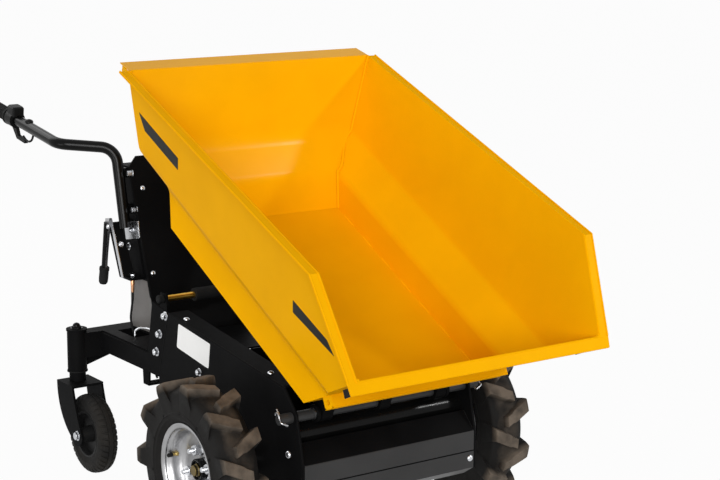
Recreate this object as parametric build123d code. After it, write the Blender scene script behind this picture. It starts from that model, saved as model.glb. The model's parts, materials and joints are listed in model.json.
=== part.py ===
from build123d import *
import os
from math import atan2, cos, hypot, pi, radians, sin

os.makedirs("parts", exist_ok=True)

# Driving dimensions, in mm. The nose points to -Y, and +X is the machine's left side.
# Heights are above the ground, and lengths are measured from the drive axle.
overall_half_width = 438.0
origin_from_axle = 365.2

# Drive wheels: lugged tyres on 8 inch rims
tyre_radius = 214.0
tyre_width = 110.0
tyre_flats = 44
casing_radius = 197.0
casing_half_width = 50.0
lug_count = 11
lug_thickness = 48.0
lug_lead = 35.0
lug_overlap = 15.0
lug_taper = 9.0
lug_phase = 4.9
lug_root_radius = 160.0
lug_end_radius = 198.0
rim_set_in = 13.0
rim_flange_radius = 115.0
rim_seat_radius = 102.0
rim_width = 84.0
rim_wall = 4.0
rim_disc = 5.0
rim_disc_recess = 50.0
hub_radius = 32.0
hub_recess = 28.0
hub_gap = 6.0
axle_radius = 12.5
axle_recess = 22.0
axle_tube_radius = 30.0
axle_shoulder = 296.0
running_gap = 0.05

# Castors behind the machine
castor_x = 305.0
castor_axis_y = 788.0
castor_trail = 84.0
castor_radius = 106.0
castor_width = 52.0
castor_flats = 36
castor_rim_radius = 62.0
castor_rim_wall = 5.0
castor_hub_radius = 18.0
castor_web_half = 6.0
castor_axle_radius = 6.0
fork_plate = 6.0
fork_gap = 14.0
leg_front = 26.0
leg_rear = 116.0
crown_gap = 16.0
stem_radius = 14.0
stem_depth = 95.0
collar_wall = 8.0
collar_gap = 6.0
castor_pin_overhang = 8.0
swivel_tube_radius = 26.0
swivel_low = 262.0
swivel_high = 371.0
swivel_cap_height = 5.0
swivel_cap_lip = 2.0

# Chassis of bent plates
plate_outer = 250.0
plate_thickness = 6.0
top_edge_front = (-76.0, 434.0)
top_edge_slope = 0.1242
flange_width = 58.0
plate_rear_top_y = 385.0
plate_rear_low = (437.0, 320.0)
plate_nose = (-200.0, 372.0)
plate_top_front_y = -150.0
flange_front_y = -140.0
belly_height = 140.0
belly_front_y = -190.0
belly_rear_y = 420.0
pan_rear_y = 400.0
cover_fold = (-228.0, 256.0)
cover_top = (-188.0, 298.0)
cover_seam_height = 208.0
cover_low = (-228.0, 165.0)
cover_sheet = 3.0
cross_tube_place = (-140.0, 306.0)
cross_tube_radius = 32.0
cross_tube_wall = 4.0

# Drive unit and batteries inside the chassis
drive_block_size = (230.0, 170.0, 140.0)
drive_block_bend = 30.0
battery_size = (170.0, 240.0, 220.0)
battery_place = (135.0, 215.0)

# Rear frame, deck and tower
rail_inner = 204.0
rail_front = 345.0
rail_low = 311.0
rail_high = 361.0
beam_depth = 46.0
beam_low = 297.0
beam_high = 365.0
beam_set_in = 5.0
gusset_inner = 190.0
gusset_sheet = 8.0
deck_sheet = 4.0
deck_lap = 40.0
upright_sheet = 6.0
upright_front = (400.0, 486.0)
upright_rear = (478.0, 502.0)
upright_foot_y = 505.0
cable_slot_y = 700.0
cable_slot_length = 96.0
tower_half_width = 150.0
tower_low = (622.0, 365.0)
tower_lean = 0.332
tower_high = 827.0
tower_panel_sheet = 4.0
tower_depth = 132.0
tower_corner = 26.0
tower_flange_depth = 8.0
tower_flange_low = 464.0
housing_top_depth = 70.0
housing_waist = 560.0
housing_shoulder = (60.0, 40.0)
latch_place = (525.0, 492.0)
latch_rod_radius = 8.5
latch_half_length = 200.0
latch_block_half = 95.0
tab_sheet = 6.0
tab_set_in = 20.0
tab_foot_half = 30.0
tab_head_half = 15.0

# Skip, drawn level about its hinge shaft: u runs rearward, v runs up
hinge_place = (-180.0, 361.0)
shaft_radius = 12.5
shaft_overhang = 34.0
knuckle_places = (-163.0, 0.0, 163.0)
knuckle_radius = 21.0
knuckle_width = 30.0
tongue_rear = 45.0
tip_angle = 27.0
sheet = 3.0
skip_floor_half_width = 250.0
floor_v = 66.0
floor_front_u = -25.0
floor_rear_u = 643.0
crease_u, crease_v = 691.0, 150.0
kink_x, kink_u, kink_v = 315.0, 765.0, 224.0
rim_rear_x, rim_rear_u, rim_rear_v = 353.0, 834.0, 409.0
rim_front_x, rim_front_u, rim_front_v = 367.0, -71.0, 488.0
lip_u, lip_v = -256.0, 339.0
rim_flange = 24.0
rear_flange = (50.0, -10.0)
lip_flange = 26.0
rear_bend = 110.0
side_bend = 30.0
stiffener_end = 112.0
stiffener_depth = 29.0
stiffener_width = 34.0
vent_radius = 6.0
channel_x = 110.0
channel_width = 40.0
channel_height = 30.0

# Tipping actuator on the centre line
actuator_base = (280.0, 190.0)
actuator_eye_u, actuator_eye_v = 120.0, 20.0
actuator_radius = 25.0
rod_radius = 11.0
actuator_length = 300.0
rod_engaged = 150.0
rod_bore_depth = 250.0
eye_radius = 18.0
eye_width = 20.0
eye_bore = 8.0
neck_radius = 9.0
ear_sheet = 8.0
ear_gap = 4.0
foot_gap = 1.0
foot_half = 30.0

# Handles and controls
handle_radius = 15.0
handle_foot = (172.0, 752.0, 640.0)
handle_elbow = (172.0, 797.0, 850.0)
handle_knee = (300.0, 881.0, 861.0)
handle_rise = 0.14
handle_end_y = 1300.0
handle_bend = 48.0
grip_length = 125.0
grip_radius = 18.0
grip_wall = 12.0
grip_flange = 6.0
clamp_y = 1150.0
clamp_half = 18.0
clamp_wall = 8.0
trigger_half = 5.0
saddle_heights = (690.0, 785.0)
saddle_size = (16.0, 26.0)
brake_depth = 46.0
brake_sheet = 6.0
brake_low = 509.0
brake_pivot = (800.0, 640.0)
brake_pin_radius = 6.0
brake_gap = 2.0
brake_grip_radius = 11.0
cable_radius = 3.0
cable_bend = 34.0
cable_gap = 0.2
stop_sheet = 5.0


def outline(points):
    """A flat face with straight sides through these points."""
    return make_face(Polyline(*points, close=True))


def across(points, x_low, x_high):
    """A prism with this side-view outline, reaching from x_low to x_high."""
    return extrude(Plane.YZ.offset(x_low) * outline(points), x_high - x_low)


def rod_between(start, end, radius):
    """A round bar from start to end."""
    line = Vector(end) - Vector(start)
    return extrude(Plane(origin=start, z_dir=line) * Circle(radius), line.length)


def turned(profile, y, z):
    """A profile of (x, radius) points turned about a lateral axis at (y, z)."""
    return Pos(0, y, z) * revolve(outline(profile), Axis.X)


def in_flats(profile, flats):
    """A solid of flat faces between regular polygons at the profile's (x, radius) places."""
    turns = [2 * pi * i / flats for i in range(flats)]
    rings = [[(x, radius * cos(turn), radius * sin(turn)) for turn in turns] for x, radius in profile]
    faces = [outline(rings[0]), outline(rings[-1])]
    for ring, next_ring in zip(rings, rings[1:]):
        for i in range(flats):
            faces.append(outline([ring[i - 1], ring[i], next_ring[i], next_ring[i - 1]]))
    return Part() + Solid(Shell(faces))


def lateral_bar(y, z, radius, x_low, x_high):
    """A lateral round bar, for a pin or for cutting a hole."""
    return rod_between((x_low, y, z), (x_high, y, z), radius)


def offset_chain(points, distance):
    """The chain moved sideways by distance, to the left of its direction, with mitred corners."""
    moved = []
    for i, (u, v) in enumerate(points):
        ahead = points[min(i + 1, len(points) - 1)]
        behind = points[max(i - 1, 0)]
        into = atan2(v - behind[1], u - behind[0]) if i > 0 else None
        out = atan2(ahead[1] - v, ahead[0] - u) if i < len(points) - 1 else None
        into = out if into is None else into
        out = into if out is None else out
        middle = (into + out) / 2
        reach = distance / cos((out - into) / 2)
        moved.append((u - reach * sin(middle), v + reach * cos(middle)))
    return moved


def folded(points, thickness, x_low, x_high):
    """Sheet of this thickness folded along a side-view line, to the left of the line's direction."""
    return across(points + offset_chain(points, thickness)[::-1], x_low, x_high)


def mirrored(piece):
    """The same piece on the machine's other side."""
    return mirror(piece, Plane.YZ)


def save(name, piece):
    """Writes one piece, moved so that the origin is under the middle of the machine."""
    moved = Pos(0, -origin_from_axle, 0) * piece
    export_step(moved, f"parts/{name}.step")


def save_pair(name, piece_left):
    """Writes a piece drawn on the left (+X) side, and its mirror image."""
    save(f"{name}_left", piece_left)
    save(f"{name}_right", mirrored(piece_left))


def top_edge(y):
    """Height of the chassis plates' sloping top edge."""
    return top_edge_front[1] + (y - top_edge_front[0]) * top_edge_slope


def tower_y(z):
    """Place of the tower's leaning front face at a height."""
    return tower_low[0] + (z - tower_low[1]) * tower_lean


# Chassis side plates with an inward flange along the top
plate_inner = plate_outer - plate_thickness
plate_points = [
    (plate_rear_top_y, top_edge(plate_rear_top_y)),
    (plate_top_front_y, top_edge(plate_top_front_y)),
    plate_nose,
    cover_fold,
    cover_low,
    (belly_front_y, belly_height),
    (belly_rear_y, belly_height),
    plate_rear_low,
]
flange_line = [
    (plate_rear_top_y, top_edge(plate_rear_top_y)),
    (flange_front_y, top_edge(flange_front_y)),
]
side_plate = across(plate_points, plate_inner, plate_outer)
side_plate += folded(flange_line, plate_thickness, plate_outer - flange_width, plate_inner)
side_plate -= lateral_bar(*hinge_place, shaft_radius, plate_inner - 1, plate_outer + 1)
side_plate -= lateral_bar(0, tyre_radius, axle_tube_radius, plate_inner - 1, plate_outer + 1)
save_pair("side_plate", side_plate)

# Front cover, belly pan and cross tube between the plates
seam = (cover_fold[0], cover_seam_height)
front_cover = folded([cover_top, cover_fold, seam], cover_sheet, -plate_inner, plate_inner)
save("front_cover", front_cover)
pan_line = [seam, cover_low, (belly_front_y, belly_height), (pan_rear_y, belly_height)]
save("belly_pan", folded(pan_line, cover_sheet, -plate_inner, plate_inner))
cross_tube = lateral_bar(*cross_tube_place, cross_tube_radius, -plate_inner, plate_inner)
cross_tube -= lateral_bar(*cross_tube_place, cross_tube_radius - cross_tube_wall, -plate_outer, plate_outer)
save("cross_tube", cross_tube)

# Hinge shaft of the skip, through both plates
shaft_end = plate_outer + shaft_overhang
save("hinge_shaft", lateral_bar(*hinge_place, shaft_radius, -shaft_end, shaft_end))

# Drive unit: motor and gearbox block, batteries, axle tubes with their stubs
drive_block = Pos(0, 0, tyre_radius) * Box(*drive_block_size)
save("drive_unit", fillet(drive_block.edges().filter_by(Axis.X), drive_block_bend))
battery = Pos(*battery_place, belly_height + cover_sheet + battery_size[2] / 2) * Box(*battery_size)
save("batteries", Compound(children=[battery, mirrored(battery)]))
rim_outer = overall_half_width - rim_set_in
axle_end = rim_outer - axle_recess
axle = lateral_bar(0, tyre_radius, axle_tube_radius, drive_block_size[0] / 2, axle_shoulder)
axle += lateral_bar(0, tyre_radius, axle_radius, axle_shoulder, axle_end)
save_pair("axle", axle)

# Drive wheels
rim_inner = rim_outer - rim_width
disc_face = rim_outer - rim_disc_recess
hub_inner = axle_shoulder + hub_gap
hub_outer = rim_outer - hub_recess
rim_profile = [
    (rim_outer, rim_flange_radius),
    (rim_outer - rim_wall, rim_flange_radius),
    (rim_outer - rim_wall, rim_seat_radius),
    (rim_inner + rim_wall, rim_seat_radius),
    (rim_inner + rim_wall, rim_flange_radius),
    (rim_inner, rim_flange_radius),
    (rim_inner, rim_seat_radius - rim_wall),
    (disc_face - rim_disc, rim_seat_radius - rim_wall),
    (disc_face - rim_disc, hub_radius),
    (hub_inner, hub_radius),
    (hub_inner, axle_radius + running_gap),
    (hub_outer, axle_radius + running_gap),
    (hub_outer, hub_radius),
    (disc_face, hub_radius),
    (disc_face, rim_seat_radius - rim_wall),
    (rim_outer, rim_seat_radius - rim_wall),
]
save_pair("rim", turned(rim_profile, 0, tyre_radius))


# Drive tyres: a casing in flats on the rim's seat, and two staggered rows of slanting lugs
tyre_middle = (rim_outer + rim_inner) / 2
half_seat = rim_width / 2 - rim_wall
casing_side = [
    (half_seat, rim_flange_radius + 2),
    (casing_half_width, rim_flange_radius + 27),
    (casing_half_width - 4, casing_radius - 14),
    (casing_half_width - 32, casing_radius),
]


def seated(side_profile, seat_radius, seat_half_width, flats):
    """A tyre from half of its outer section, from bead to crown, bored in flats that touch its seat."""
    outer = in_flats(side_profile + [(-x, radius) for x, radius in side_profile[::-1]], flats)
    corner_radius = seat_radius / cos(pi / flats)
    seat = in_flats([(-2 * seat_half_width, corner_radius), (2 * seat_half_width, corner_radius)], flats)
    return outer - seat


def lug():
    """One lug at the top of the tyre's outer half, its inner end leading forward, trimmed to the tread."""
    shoulder = tyre_width / 2 + 3
    half = lug_thickness / 2
    plan = outline(
        [
            (shoulder, -half),
            (shoulder, half),
            (-lug_overlap, -lug_lead + half),
            (-lug_overlap, -lug_lead - half),
        ]
    )
    height = 1.1 * (tyre_radius - lug_root_radius)
    bar = extrude(Plane.XY.offset(lug_root_radius) * plan, height, taper=lug_taper)
    tread = [
        (-tyre_width, tyre_radius),
        (tyre_width / 2 - 1, tyre_radius),
        (tyre_width / 2, lug_end_radius),
        (casing_half_width - 3, lug_root_radius),
    ]
    return bar & in_flats(tread, tyre_flats)


tyre = seated(casing_side, rim_seat_radius, half_seat, tyre_flats)
outer_lug = lug()
inner_lug = mirrored(outer_lug)
pitch = 360.0 / lug_count
for row, turn in ((outer_lug, lug_phase), (inner_lug, lug_phase + pitch / 2)):
    tyre += [Rot(turn + i * pitch, 0, 0) * row for i in range(lug_count)]
save_pair("tyre", Pos(tyre_middle, 0, tyre_radius) * tyre)

# Rear frame: two rails, a deck and the crossbeam with its swivel tubes
beam_front = castor_axis_y - beam_depth / 2
beam_rear = castor_axis_y + beam_depth / 2
rail = Pos((rail_inner + plate_inner) / 2, (rail_front + beam_front) / 2, (rail_low + rail_high) / 2)
rail *= Box(plate_inner - rail_inner, beam_front - rail_front, rail_high - rail_low)
save_pair("rear_rail", rail)
beam_end = castor_x - beam_set_in
beam = Pos(0, castor_axis_y, (beam_low + beam_high) / 2)
beam *= Box(2 * beam_end, beam_depth, beam_high - beam_low)
gusset_points = [
    (beam_end, beam_low),
    (gusset_inner, beam_low),
    (beam_end - beam_set_in, swivel_low + beam_set_in),
]
gusset = extrude(Plane.XZ.offset(-castor_axis_y - gusset_sheet / 2) * outline(gusset_points), gusset_sheet)


def on_swivel(low, high, radius):
    """A round bar on the left castor's swivel axis between two heights."""
    return rod_between((castor_x, castor_axis_y, low), (castor_x, castor_axis_y, high), radius)


swivel_tube = on_swivel(swivel_low, swivel_high, swivel_tube_radius)
swivel_cap = on_swivel(swivel_high, swivel_high + swivel_cap_height, swivel_tube_radius + swivel_cap_lip)
swivel_bore = on_swivel(swivel_low, swivel_low + stem_depth + collar_gap, stem_radius + running_gap)
crossbeam = beam
for half in (gusset, swivel_tube, swivel_cap):
    crossbeam += half + mirrored(half)
crossbeam -= swivel_bore + mirrored(swivel_bore)
save("rear_crossbeam", crossbeam)
deck_front = plate_rear_low[0] - deck_lap
rear_deck = Pos(0, (deck_front + beam_front) / 2, rail_high + deck_sheet / 2)
rear_deck *= Box(2 * (plate_inner - upright_sheet), beam_front - deck_front, deck_sheet)
cable_slot = Pos((-rail_inner - tower_half_width) / 2, cable_slot_y, rail_high)
cable_slot *= Box(rail_inner - tower_half_width, cable_slot_length, 4 * deck_sheet)
rear_deck -= cable_slot
save("rear_deck", rear_deck)
upright_points = [upright_front, upright_rear, (upright_foot_y, rail_high), (upright_front[0], rail_high)]
save_pair("rear_upright", across(upright_points, plate_inner - upright_sheet, plate_inner))

# Tower: a leaning front panel with folded edges, and a housing behind it
panel_points = [
    tower_low,
    (tower_y(tower_high), tower_high),
    (tower_y(tower_high) + tower_panel_sheet, tower_high),
    (tower_low[0] + tower_panel_sheet, tower_low[1]),
]
edge_points = [
    (tower_y(tower_flange_low), tower_flange_low),
    (tower_y(tower_high), tower_high),
    (tower_y(tower_high) + tower_flange_depth, tower_high),
    (tower_y(tower_flange_low) + tower_flange_depth, tower_flange_low),
]
tower_front_points = [
    (-tower_half_width, tower_low[1]),
    (-tower_half_width, tower_high - tower_corner),
    (-tower_half_width + tower_corner, tower_high),
    (tower_half_width - tower_corner, tower_high),
    (tower_half_width, tower_high - tower_corner),
    (tower_half_width, tower_low[1]),
]
tower_front = extrude(Plane.XZ * outline(tower_front_points), 2 * beam_rear, both=True)
panel = across(panel_points, -tower_half_width, tower_half_width)
panel_edge = across(edge_points, tower_half_width - tower_panel_sheet, tower_half_width)
panel += panel_edge + mirrored(panel_edge)
save("tower_panel", panel & tower_front)
housing_front = tower_low[0] + tower_panel_sheet
housing_rear = housing_front + tower_depth
housing_high = tower_high - tower_corner
housing_points = [
    (housing_front, tower_low[1]),
    (tower_y(housing_high) + tower_panel_sheet, housing_high),
    (tower_y(housing_high) + housing_top_depth, housing_high),
    (housing_rear + housing_shoulder[0], housing_high - housing_shoulder[1]),
    (housing_rear, housing_waist),
    (housing_rear, tower_low[1]),
]
housing_half_width = tower_half_width - tower_panel_sheet
save("tower_housing", across(housing_points, -housing_half_width, housing_half_width))

# Latch rod with its block, on two tabs from the deck
latch_rod = lateral_bar(*latch_place, latch_rod_radius, -latch_half_length, latch_half_length)
save("latch_rod", latch_rod)
latch_block = lateral_bar(*latch_place, 2 * latch_rod_radius, -latch_block_half, latch_block_half)
save("latch_block", latch_block - latch_rod)
latch_y, latch_z = latch_place
tab_points = [
    (latch_y - tab_foot_half, beam_high),
    (latch_y + tab_foot_half, beam_high),
    (latch_y + tab_head_half, latch_z + tab_head_half),
    (latch_y - tab_head_half, latch_z + tab_head_half),
]
tab_inner = latch_half_length - tab_set_in
tab = across(tab_points, tab_inner, tab_inner + tab_sheet) - latch_rod
save("latch_tabs", Compound(children=[tab, mirrored(tab)]))

# Handles: a tube up the tower's side, out, and back to the grip
handle_end_z = handle_knee[2] + (handle_end_y - handle_knee[1]) * handle_rise
handle_tip = (handle_knee[0], handle_end_y - grip_wall, handle_end_z - grip_wall * handle_rise)
handle_path = FilletPolyline(handle_foot, handle_elbow, handle_knee, handle_tip, radius=handle_bend)
handle_section = Plane(origin=handle_foot, z_dir=handle_path % 0) * Circle(handle_radius)
handle = sweep(handle_section, path=handle_path)
for height in saddle_heights:
    share = (height - handle_foot[2]) / (handle_elbow[2] - handle_foot[2])
    saddle_y = handle_foot[1] + share * (handle_elbow[1] - handle_foot[1])
    saddle_x = (housing_half_width + handle_foot[0]) / 2
    handle += Pos(saddle_x, saddle_y, height) * Box(handle_foot[0] - housing_half_width, *saddle_size)
save_pair("handle", handle)


def along_grip(y):
    """A point on the handle's last straight at this length from the axle."""
    return (handle_knee[0], y, handle_knee[2] + (y - handle_knee[1]) * handle_rise)


grip_start = handle_end_y - grip_length
grip = rod_between(along_grip(grip_start), along_grip(handle_end_y), grip_radius)
grip += rod_between(along_grip(grip_start), along_grip(grip_start + grip_flange), grip_radius + grip_flange)
grip -= rod_between(along_grip(clamp_y), along_grip(handle_tip[1]), handle_radius)
save_pair("grip", grip)
clamp = rod_between(
    along_grip(clamp_y - clamp_half), along_grip(clamp_y + clamp_half), handle_radius + clamp_wall
)
trigger_points = [
    (clamp_y - 14, 884.0),
    (clamp_y + 14, 884.0),
    (clamp_y - 20, 846.0),
    (clamp_y - 70, 838.0),
    (clamp_y - 72, 845.0),
    (clamp_y - 26, 856.0),
]
clamp += across(trigger_points, handle_knee[0] - trigger_half, handle_knee[0] + trigger_half)
clamp -= rod_between(along_grip(handle_knee[1]), along_grip(handle_end_y), handle_radius)
save_pair("control_clamp", clamp)

# Parking brake on the tower's right side: channel bracket, lever and cable
brake_base = -housing_half_width
brake_side = brake_base - brake_depth
base_points = [(736.0, 655.0), (800.0, 662.0), (812.0, 630.0), (752.0, brake_low), (690.0, brake_low)]
arm_points = [(788.0, 652.0), (812.0, 646.0), (752.0, brake_low), (728.0, brake_low)]
shelf_line = [(690.0, brake_low), (752.0, brake_low)]
brake_bracket = across(base_points, brake_base - brake_sheet, brake_base)
brake_bracket += across(arm_points, brake_side, brake_side + brake_sheet)
brake_bracket += folded(shelf_line, brake_sheet, brake_side, brake_base)
brake_bracket += lateral_bar(*brake_pivot, brake_pin_radius, brake_side - brake_gap, brake_base)
save("brake_bracket", brake_bracket)
lever_points = [(788.0, 664.0), (812.0, 660.0), (838.0, 508.0), (824.0, 504.0)]
lever_inner = brake_side - brake_gap
brake_lever = across(lever_points, lever_inner - brake_sheet, lever_inner)
lever_middle = lever_inner - brake_sheet / 2
brake_lever += rod_between((lever_middle, 829.0, 522.0), (lever_middle, 838.0, 480.0), brake_grip_radius)
save("brake_lever", brake_lever)
cable_x = (brake_base + brake_side) / 2
cable_route = [
    (cable_x, 722.0, brake_low),
    (cable_x, 722.0, 455.0),
    (cable_x, 738.0, 395.0),
    (cable_x, 716.0, 345.0),
    (cable_x, 640.0, 318.0),
    (cable_x, 594.0, 262.0),
]
cable_path = FilletPolyline(*cable_route, radius=cable_bend)
cable_section = Plane(origin=cable_route[0], z_dir=cable_path % 0) * Circle(cable_radius)
save("brake_cable", sweep(cable_section, path=cable_path))
stop_points = [(570.0, 340.0), (612.0, 340.0), (606.0, 250.0), (576.0, 250.0)]
cable_stop = across(stop_points, -rail_inner, -rail_inner + stop_sheet)
stop_shelf = [(576.0, 250.0), (606.0, 250.0)]
cable_stop += folded(stop_shelf, stop_sheet, -rail_inner, cable_x + brake_grip_radius)
cable_end = cable_path @ 1
cable_stop -= rod_between(
    cable_path @ 0.95, cable_end + (cable_path % 1) * 8 * stop_sheet, cable_radius + cable_gap
)
save("cable_stop", cable_stop)

# Skip: side, floor, front and rear panels of folded sheet
skip_place = Pos(0, *hinge_place) * Rot(tip_angle, 0, 0)
chain = [
    (lip_u, lip_v),
    (floor_front_u, floor_v),
    (floor_rear_u, floor_v),
    (crease_u, crease_v),
    (kink_u, kink_v),
    (rim_rear_u, rim_rear_v),
    (rim_rear_u + rear_flange[0], rim_rear_v + rear_flange[1]),
]
inner_chain = offset_chain(chain, sheet)


def bent(prism, corner, radius):
    """The prism with its lateral edge at this corner rounded off."""
    edges = prism.edges().filter_by(Axis.X)
    edge = min(edges, key=lambda e: hypot(e.center().Y - corner[0], e.center().Z - corner[1]))
    return fillet(edge, radius)


def wall(first, last):
    """The sheet between two corners of the chain, as a prism right across the skip."""
    points = chain[first : last + 1] + inner_chain[first : last + 1][::-1]
    return across(points, -overall_half_width, overall_half_width)


flare_slope = (kink_x - skip_floor_half_width) / (kink_v - crease_v)
kink_rear = Vector(kink_x, kink_u, kink_v)
rim_rear = Vector(rim_rear_x, rim_rear_u, rim_rear_v)
rim_front = Vector(rim_front_x, rim_front_u, rim_front_v)
upper_normal = (rim_rear - kink_rear).cross(rim_front - kink_rear)
lower_plane = Plane(origin=(skip_floor_half_width, 0, 0), z_dir=(1, 0, 0))
flare_plane = Plane(origin=(skip_floor_half_width, 0, crease_v), z_dir=(1, 0, -flare_slope))
upper_plane = Plane(origin=kink_rear, z_dir=upper_normal)


def within_left_side(inset):
    """All that lies inside the left side wall's outer face moved in by inset, with its two bends."""
    block = Pos(0, floor_rear_u / 2, 0) * Box(4 * rim_rear_u, 4 * rim_rear_u, 2 * rim_rear_u)
    low = split(block, bisect_by=lower_plane.offset(-inset), keep=Keep.BOTTOM)
    flare = split(block, bisect_by=flare_plane.offset(-inset), keep=Keep.BOTTOM)
    inside = split(low + flare, bisect_by=upper_plane.offset(-inset), keep=Keep.BOTTOM)
    for place, radius in (
        (Vector(skip_floor_half_width, 0, crease_v), side_bend + inset),
        (Vector(kink_x, 0, kink_v), side_bend - inset),
    ):
        long_edges = [edge for edge in inside.edges() if edge.length > 3 * rim_rear_u]
        fold = min(long_edges, key=lambda e: hypot(e.center().X - place.X, e.center().Z - place.Z))
        inside = fillet(fold, radius)
    return inside


inside_left = within_left_side(sheet)
outside_left = within_left_side(0)
flange_left = within_left_side(-rim_flange)
side_outline = chain[:6] + [(rim_front_u, rim_front_v)]
side_block = across(side_outline, 0, overall_half_width)
side_block = bent(side_block, chain[3], rear_bend)
side_block = bent(side_block, chain[4], rear_bend + sheet)
skip_side = (side_block & outside_left) - inside_left
rim_line = [(rim_rear_u, rim_rear_v), (rim_front_u, rim_front_v), (lip_u, lip_v)]
edge_strip = across(rim_line + offset_chain(rim_line, sheet)[::-1], 0, overall_half_width)
skip_side += (edge_strip & flange_left) - outside_left
save_pair("skip_side", skip_place * skip_side)
between_sides = inside_left & mirrored(inside_left)
save("skip_floor", skip_place * (wall(1, 2) & between_sides))
front_angle = atan2(lip_v - floor_v, lip_u - floor_front_u)


def under_front(along, out):
    """A point along the front wall's outer face from the floor, and out from that face."""
    u = floor_front_u + along * cos(front_angle) - out * sin(front_angle)
    v = floor_v + along * sin(front_angle) + out * cos(front_angle)
    return (u, v)


front_length = hypot(lip_u - floor_front_u, lip_v - floor_v)
lip_points = [
    under_front(front_length, 0),
    under_front(front_length, lip_flange),
    under_front(front_length - sheet, lip_flange),
    under_front(front_length - sheet, 0),
]
lip = across(lip_points, -overall_half_width, overall_half_width)
lip &= flange_left & mirrored(flange_left)
lip -= skip_side + mirrored(skip_side)
stiffener_points = [
    under_front(stiffener_end, 0),
    under_front(stiffener_end, stiffener_depth),
    under_front(stiffener_end - stiffener_width, stiffener_depth),
    under_front(stiffener_end - stiffener_width, 0),
]
stiffener = across(stiffener_points, -skip_floor_half_width + sheet, skip_floor_half_width - sheet)
vent_place = under_front(stiffener_end - stiffener_width / 2, stiffener_depth / 2)
stiffener -= lateral_bar(*vent_place, vent_radius, -overall_half_width, overall_half_width)
save("skip_front_wall", skip_place * ((wall(0, 1) & between_sides) + lip + stiffener))
rear_wall = wall(2, 6)
rear_wall = bent(rear_wall, chain[3], rear_bend)
rear_wall = bent(rear_wall, inner_chain[3], rear_bend + sheet)
rear_wall = bent(rear_wall, chain[4], rear_bend + sheet)
rear_wall = bent(rear_wall, inner_chain[4], rear_bend)
save("skip_rear_wall", skip_place * (rear_wall & between_sides))

# Under the skip: two channels, three hinge knuckles and the actuator's ears
channel = Pos(channel_x, floor_rear_u / 2, floor_v - channel_height / 2)
channel *= Box(channel_width, floor_rear_u - 2 * channel_width, channel_height)
subframe = [channel, mirrored(channel)]
ear_points = [
    (actuator_eye_u - eye_radius - ear_sheet, floor_v),
    (actuator_eye_u - eye_radius, actuator_eye_v - eye_radius),
    (actuator_eye_u + eye_radius, actuator_eye_v - eye_radius),
    (actuator_eye_u + eye_radius + ear_sheet, floor_v),
]
ear_inner = eye_width / 2 + ear_gap
ear = across(ear_points, ear_inner, ear_inner + ear_sheet)
subframe += [ear, mirrored(ear)]
save("skip_subframe", skip_place * Compound(children=subframe))
knuckles = []
tongue_half = knuckle_radius - 2
tongue_points = [
    (-tongue_half, 0.0),
    (-tongue_half, floor_v),
    (tongue_rear, floor_v),
    (tongue_rear, floor_v - ear_sheet),
    (tongue_half, 0.0),
]
for x in knuckle_places:
    knuckle = across(tongue_points, x - knuckle_width / 2, x + knuckle_width / 2)
    knuckle += lateral_bar(0, 0, knuckle_radius, x - knuckle_width / 2, x + knuckle_width / 2)
    knuckle -= lateral_bar(0, 0, shaft_radius + running_gap, x - knuckle_width, x + knuckle_width)
    knuckles.append(knuckle)
save("skip_knuckles", skip_place * Compound(children=knuckles))

# Tipping actuator: body on a bracket, rod with an eye between the skip's ears
tip = radians(tip_angle)
eye_y = hinge_place[0] + actuator_eye_u * cos(tip) - actuator_eye_v * sin(tip)
eye_z = hinge_place[1] + actuator_eye_u * sin(tip) + actuator_eye_v * cos(tip)
stroke_line = Vector(0, eye_y - actuator_base[0], eye_z - actuator_base[1])
base = Vector(0, *actuator_base)
eye = Vector(0, eye_y, eye_z)
along = stroke_line.normalized()
body_end = base + along * actuator_length
neck_length = 2 * eye_radius
actuator = rod_between(base + along * neck_length, body_end, actuator_radius)
actuator += lateral_bar(*actuator_base, eye_radius, -eye_width / 2, eye_width / 2)
actuator += rod_between(base, base + along * (neck_length + neck_radius), neck_radius)
rod_start = eye - along * (stroke_line.length - actuator_length + rod_engaged)
actuator -= rod_between(body_end, body_end - along * rod_bore_depth, rod_radius + running_gap)
actuator -= lateral_bar(*actuator_base, eye_bore + running_gap, -eye_width, eye_width)
save("actuator_body", actuator)
actuator_rod = rod_between(rod_start, eye, rod_radius)
actuator_rod += lateral_bar(eye_y, eye_z, eye_radius, -eye_width / 2, eye_width / 2)
actuator_rod -= lateral_bar(eye_y, eye_z, eye_bore, -eye_width, eye_width)
save("actuator_rod", actuator_rod)
foot_low = belly_height + cover_sheet
foot_points = [
    (actuator_base[0] - foot_half, foot_low),
    (actuator_base[0] + foot_half, foot_low),
    (actuator_base[0] + eye_radius, actuator_base[1] + eye_radius),
    (actuator_base[0] - eye_radius, actuator_base[1] + eye_radius),
]
foot_inner = eye_width / 2 + foot_gap
foot_outer = foot_inner + ear_sheet
foot = across(foot_points, foot_inner, foot_outer)
foot_pin = lateral_bar(*actuator_base, eye_bore, -foot_outer, foot_outer)
save("actuator_foot", foot + mirrored(foot) + foot_pin)

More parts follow.
